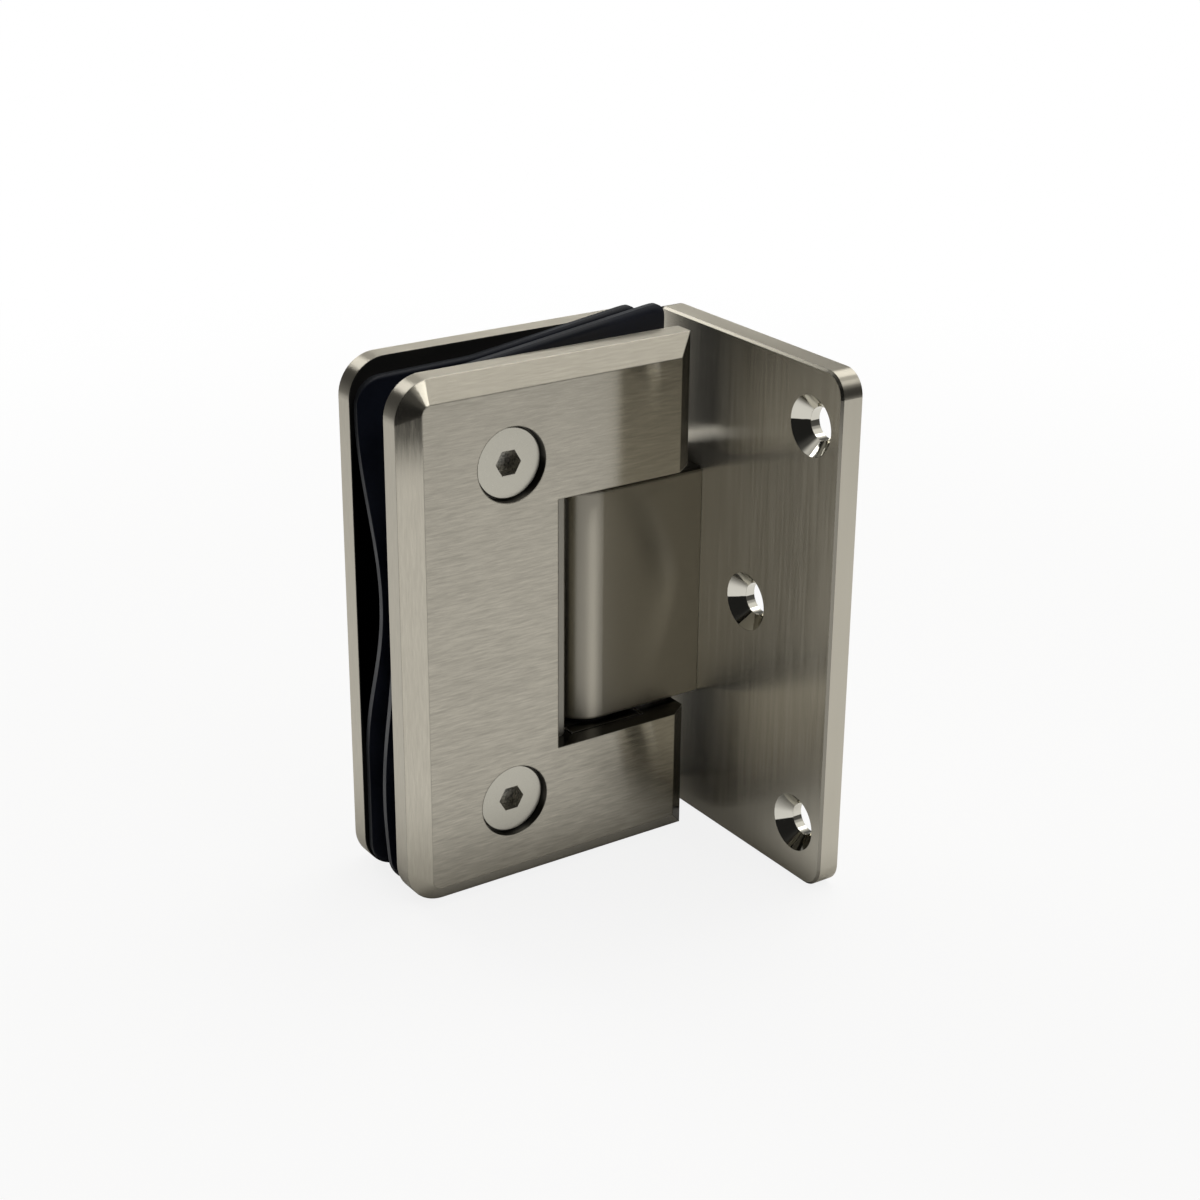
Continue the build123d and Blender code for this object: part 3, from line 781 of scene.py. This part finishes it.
class GasketGrid:
    """Columns and rows of a gasket's sheet, in the XZ plane, with every straight edge on a line."""

    def __init__(self, node, top_points):
        low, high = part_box(node)
        self.left, self.right, self.bottom = low.x, high.x, low.z
        self.top_points = top_points
        self.notch_left = NOTCH_LEFT - GASKET_RELIEF
        self.notch_half = NOTCH_HALF + GASKET_RELIEF
        self.lug_left = PIN_X - LUG_HALF_WIDTH - GASKET_RELIEF
        self.lug_right = PIN_X + LUG_HALF_WIDTH + GASKET_RELIEF
        self.lug_reach = LUG_TOP + GASKET_RELIEF
        self.screw = node_centre("upper_clamp_screw")
        self.patch = self.screw.z - self.notch_half
        lines = [
            self.left + LEFT_CORNER, self.screw.x - self.patch, self.screw.x + self.patch,
            self.notch_left, self.lug_left, self.lug_right, self.right - RIGHT_CORNER,
        ]
        turns = np.linspace(0, math.pi / 2, CORNER_STEPS + 1)
        self.columns = [self.left + LEFT_CORNER * (1 - math.cos(turn)) for turn in turns[:-1]]
        for start, end in zip(lines, lines[1:]):
            self.columns += band(start, end, SHEET_STEP)
        self.columns += [self.right - RIGHT_CORNER * (1 - math.sin(turn)) for turn in turns]
        rows = band(-self.notch_half, self.notch_half, SHEET_STEP)
        rows += band(self.notch_half, self.lug_reach, SHEET_STEP)
        rows += [self.lug_reach, self.screw.z + self.patch]
        below = [-row for row in rows if row > self.notch_half][::-1]
        self.rows = below + rows

    def edge_height(self, x, upper):
        """Return where the sheet ends above or below a column, with its round corners."""
        drop = corner_drop(x - self.left, LEFT_CORNER) + corner_drop(self.right - x, RIGHT_CORNER)
        if not upper:
            return self.bottom + drop
        along = [point_x for point_x, _ in self.top_points]
        heights = [point_z for _, point_z in self.top_points]
        return float(np.interp(x, along, heights)) - drop

    def column_heights(self, x):
        """Return the heights of one column's points from its lower end to its upper end."""
        lower, upper = self.edge_height(x, False), self.edge_height(x, True)
        shares = [index / END_STEPS for index in range(END_STEPS)]
        heights = [lower + (self.rows[0] - lower) * share for share in shares]
        heights += self.rows
        heights += [self.rows[-1] + (upper - self.rows[-1]) * (share + 1 / END_STEPS) for share in shares]
        return heights

    def is_open(self, x, z):
        """Tell whether a cell's centre lies in the notch, a lug slot or the square round a screw."""
        in_notch = x > self.notch_left and abs(z) < self.notch_half
        in_slot = self.lug_left < x < self.lug_right and abs(z) < self.lug_reach
        near_screw = abs(x - self.screw.x) < self.patch and abs(abs(z) - self.screw.z) < self.patch
        return in_notch or in_slot or near_screw

    def build(self, mesh):
        """Add the flat sheet's points and faces to a mesh. A point's y holds nothing yet."""
        grid = [[mesh.verts.new((x, 0.0, z)) for z in self.column_heights(x)] for x in self.columns]
        for near, far in zip(grid, grid[1:]):
            for a, b, c, d in zip(near, far, far[1:], near[1:]):
                centre = (a.co + b.co + c.co + d.co) / 4
                if not self.is_open(centre.x, centre.z):
                    mesh.faces.new((a, b, c, d))
        for side in (1, -1):
            self.ring_screw(mesh, grid, side)
        loose = [vertex for vertex in mesh.verts if not vertex.link_faces]
        bmesh.ops.delete(mesh, geom=loose, context="VERTS")

    def ring_screw(self, mesh, grid, side):
        """Fill the square round one screw with rings that end at its round hole."""
        centre_z = side * self.screw.z

        def angle_of(vertex):
            return math.atan2(vertex.co.z - centre_z, vertex.co.x - self.screw.x)

        square = []
        for vertex in (vertex for column in grid for vertex in column):
            offset = max(abs(vertex.co.x - self.screw.x), abs(vertex.co.z - centre_z))
            if self.patch - SNAP_DISTANCE < offset < self.patch + SNAP_DISTANCE:
                square.append(vertex)
        square.sort(key=angle_of)
        outer = square
        for ring in range(1, HOLE_RINGS + 1):
            share = ring / HOLE_RINGS
            inner = []
            for vertex in square:
                angle = angle_of(vertex)
                rim_x = self.screw.x + GASKET_HOLE * math.cos(angle)
                rim_z = centre_z + GASKET_HOLE * math.sin(angle)
                x = vertex.co.x + (rim_x - vertex.co.x) * share
                z = vertex.co.z + (rim_z - vertex.co.z) * share
                inner.append(mesh.verts.new((x, 0.0, z)))
            for corners in zip(outer, outer[1:] + outer[:1], inner[1:] + inner[:1], inner):
                mesh.faces.new(corners)
            outer = inner


def sheet_middle(spots, lie, left, fold):
    """Return the Y of a sheet's middle at (x, z) spots."""
    height, reach_z, reach_x, depth = fold
    return lie + depth * swell(spots[:, 0] - left, reach_x) * swell(spots[:, 1] - height, reach_z)


def sheet_sides(spots, lie, left, top, fold):
    """Return the points of a sheet's two sides, half its thickness off its middle."""
    middle = sheet_middle(spots, lie, left, fold)
    slope_x = (sheet_middle(spots + (SLOPE_STEP, 0.0), lie, left, fold) - middle) / SLOPE_STEP
    slope_z = (sheet_middle(spots + (0.0, SLOPE_STEP), lie, left, fold) - middle) / SLOPE_STEP
    lean = np.column_stack([-slope_x, np.ones(len(spots)), -slope_z])
    lean /= np.linalg.norm(lean, axis=1)[:, None]
    centres = np.column_stack([spots[:, 0], middle, spots[:, 1]])
    sides = []
    for direction in (-1, 1):
        places = centres + direction * lean * SHEET_THICKNESS / 2
        places[:, 2] = np.minimum(places[:, 2], top)
        sides.append([tuple(place) for place in places])
    return sides


def make_gasket(node, body, side, top_points, fold, name):
    """Add a sheet of rubber with the outline of a gasket node and one fold at its free edge."""
    low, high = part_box(node)
    lie = (high.y if side > 0 else low.y) - side * SHEET_THICKNESS / 2
    mesh = bmesh.new()
    GasketGrid(node, top_points).build(mesh)
    bmesh.ops.recalc_face_normals(mesh, faces=mesh.faces[:])
    spots = np.array([(vertex.co.x, vertex.co.z) for vertex in mesh.verts])
    near_side, far_side = sheet_sides(spots, lie, low.x, high.z - NODE_MARGIN, fold)
    mesh.verts.ensure_lookup_table()
    mesh.verts.index_update()
    faces = [[vertex.index for vertex in face.verts] for face in mesh.faces]
    rims = [(edge.verts[0].index, edge.verts[1].index) for edge in mesh.edges if edge.is_boundary]
    mesh.free()
    count = len(spots)
    polygons = list(faces)
    polygons += [[count + index for index in reversed(face)] for face in faces]
    polygons += [[a, b, count + b, count + a] for a, b in rims]
    data = bpy.data.meshes.new(name)
    data.from_pydata(near_side + far_side, [], polygons)
    data.materials.append(rubber_face)
    data.materials.append(rubber_lit_edge)
    solid = bmesh.new()
    solid.from_mesh(data)
    bmesh.ops.recalc_face_normals(solid, faces=solid.faces[:])
    solid.to_mesh(data)
    solid.free()
    # Rims take the lighter rubber: painted highlight
    for index, polygon in enumerate(data.polygons):
        is_rim = index >= 2 * len(faces)
        polygon.use_smooth = not is_rim
        polygon.material_index = int(is_rim)
    sheet = bpy.data.objects.new(name, data)
    bpy.context.scene.collection.objects.link(sheet)
    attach(sheet, body)
    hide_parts(node)


make_gasket("rear_gasket", "glass_side", 1, REAR_TOP, REAR_FOLD, "rear_rubber_sheet")
make_gasket("front_gasket", "glass_side", -1, FRONT_TOP, FRONT_FOLD, "front_rubber_sheet")


# Floor, light and camera

def beside_box(shader, place, low, high):
    """Return how far a place of the floor lies outside a box, seen from above."""
    x, y, _ = shader.separate(place)
    across = shader.math("MAXIMUM", shader.math("SUBTRACT", low.x, x), shader.math("SUBTRACT", x, high.x))
    along = shader.math("MAXIMUM", shader.math("SUBTRACT", low.y, y), shader.math("SUBTRACT", y, high.y))
    return shader.math("MAXIMUM", across, along)


def make_floor():
    """Add a pale floor that fades to white around the hinge and keeps its shadow."""
    mesh = bmesh.new()
    bmesh.ops.create_circle(mesh, cap_ends=True, segments=FLOOR_SIDES, radius=FLOOR_RADIUS)
    data = bpy.data.meshes.new("floor")
    mesh.to_mesh(data)
    mesh.free()
    floor = bpy.data.objects.new("floor", data)
    floor.location = (CAMERA_TARGET[0], CAMERA_TARGET[1], cad_low.z - FLOOR_CLEARANCE)
    bpy.context.scene.collection.objects.link(floor)
    material, shader = new_material("pale_floor")
    point = shader.own_point()
    distance = shader.vector("LENGTH", point)
    place = shader.vector("ADD", point, (CAMERA_TARGET[0], CAMERA_TARGET[1], 0.0))
    paper = shader.node("ShaderNodeBsdfDiffuse")
    shader.feed(paper.inputs["Color"], FLOOR_ALBEDO)
    white = shader.node("ShaderNodeEmission")
    clear = shader.node("ShaderNodeBsdfTransparent")
    rays = shader.node("ShaderNodeLightPath").outputs
    seen = shader.rise(distance, *FLOOR_WHITE_RANGE)
    seen_whiteness = shader.product(rays["Is Camera Ray"], shader.choose(seen, SEEN_WHITENESS, 1.0))
    reflected = shader.math("MAXIMUM", rays["Is Glossy Ray"], rays["Is Transmission Ray"])
    # The white glow that reflected rays see is withheld near the clamp's and wall plate's footprints: a
    # painted shadow round the hinge's foot
    beside_clamp = beside_box(shader, place, front_low, rear_high)
    beside_wall = beside_box(shader, place, wall_low, wall_high)
    clear_of_clamp = shader.rise(beside_clamp, 0.0, CLAMP_SHADE_REACH)
    clear_of_wall = shader.rise(beside_wall, 0.0, WALL_SHADE_REACH)
    reflected_whiteness = shader.product(reflected, clear_of_clamp, clear_of_wall, REFLECTED_WHITENESS)
    whiteness = shader.total(seen_whiteness, reflected_whiteness)
    lit = shader.mix_shader(whiteness, paper.outputs[0], white.outputs[0])
    to_corner = shader.vector("DOT_PRODUCT", place, TABLE_CORNER_SIDE)
    round_end = shader.rise(distance, *TABLE_END_RANGE)
    cut_corner = shader.rise(to_corner, *TABLE_CORNER_RANGE)
    ended = shader.math("MAXIMUM", round_end, cut_corner)
    unseen = shader.product(ended, shader.opposite(rays["Is Camera Ray"]))
    finish_material(shader, shader.mix_shader(unseen, lit, clear.outputs[0]))
    data.materials.append(material)


def height_ramp(shader, height, stops):
    """Return the light of a wall of the room from its (height, level) stops."""
    ramp = shader.node("ShaderNodeValToRGB")
    shader.feed(ramp.inputs[0], shader.remap(height, -1.0, 1.0, 0.0, 1.0))
    elements = ramp.color_ramp.elements
    while len(elements) < len(stops):
        elements.new(0.5)
    for element, (stop, level) in zip(elements, stops):
        element.position = (stop + 1) / 2
        element.color = (*(level * tint for tint in WALL_TINT), 1.0)
    return ramp.outputs[0]


def make_world():
    """Add a white backdrop for the camera and a soft studio room for reflections."""
    world = bpy.data.worlds.new("studio")
    world.use_nodes = True
    bpy.context.scene.world = world
    shader = Shader(world.node_tree)
    direction = shader.node("ShaderNodeTexCoord").outputs["Generated"]
    x, y, z = shader.separate(direction)
    front = height_ramp(shader, shader.total(z, shader.product(x, CEILING_SLOPE)), FRONT_WALL)
    back = height_ramp(shader, z, BACK_WALL)
    room = shader.blend(shader.rise(y, *BACK_RANGE), front, back)
    dark_side = shader.product(
        shader.rise(x, *SIDE_RANGE),
        shader.rise(z, *BELOW_CEILING_RANGE),
        shader.rise(y, *BEFORE_BACK_RANGE),
    )
    room = shader.blend(dark_side, room, SIDE_WALL)
    lit = shader.node("ShaderNodeBackground")
    shader.feed(lit.inputs["Color"], room)
    white = shader.node("ShaderNodeBackground")
    shader.feed(white.inputs["Color"], WHITE)
    camera_ray = shader.node("ShaderNodeLightPath").outputs["Is Camera Ray"]
    out = shader.node("ShaderNodeOutputWorld")
    shader.feed(out.inputs["Surface"], shader.mix_shader(camera_ray, lit.outputs[0], white.outputs[0]))


def make_softbox(name, direction, size, power):
    """Add a soft area light that looks at the hinge."""
    data = bpy.data.lights.new(name, "AREA")
    data.shape = "RECTANGLE"
    data.size, data.size_y = size
    data.energy = power
    light = bpy.data.objects.new(name, data)
    aim = Vector(direction).normalized()
    light.location = Vector(CAMERA_TARGET) + aim * SOFTBOX_DISTANCE
    light.rotation_mode = "QUATERNION"
    light.rotation_quaternion = aim.to_track_quat("Z", "Y")
    bpy.context.scene.collection.objects.link(light)


def make_camera():
    """Add the camera at the photograph's angle, roll and distance."""
    back = Vector((
        -math.sin(CAMERA_AZIMUTH) * math.cos(CAMERA_ELEVATION),
        -math.cos(CAMERA_AZIMUTH) * math.cos(CAMERA_ELEVATION),
        math.sin(CAMERA_ELEVATION),
    ))
    level_right = (-back).cross(Vector(Z_AXIS)).normalized()
    level_up = level_right.cross(-back)
    right = level_right * math.cos(CAMERA_ROLL) + level_up * math.sin(CAMERA_ROLL)
    up = level_up * math.cos(CAMERA_ROLL) - level_right * math.sin(CAMERA_ROLL)
    data = bpy.data.cameras.new("camera")
    data.lens = CAMERA_LENS
    data.sensor_width = SENSOR_WIDTH
    data.clip_start = CLIP_START
    data.clip_end = CLIP_END
    camera = bpy.data.objects.new("camera", data)
    turn = Matrix((right, up, back)).transposed()
    place = Matrix.Translation(Vector(CAMERA_TARGET) + back * CAMERA_DISTANCE)
    camera.matrix_world = place @ turn.to_4x4()
    bpy.context.scene.collection.objects.link(camera)
    bpy.context.scene.camera = camera


make_floor()
make_world()
for name, (direction, size, power) in SOFTBOXES.items():
    make_softbox(name, direction, size, power)
make_camera()

view_settings = bpy.context.scene.view_settings
view_settings.view_transform = "Standard"
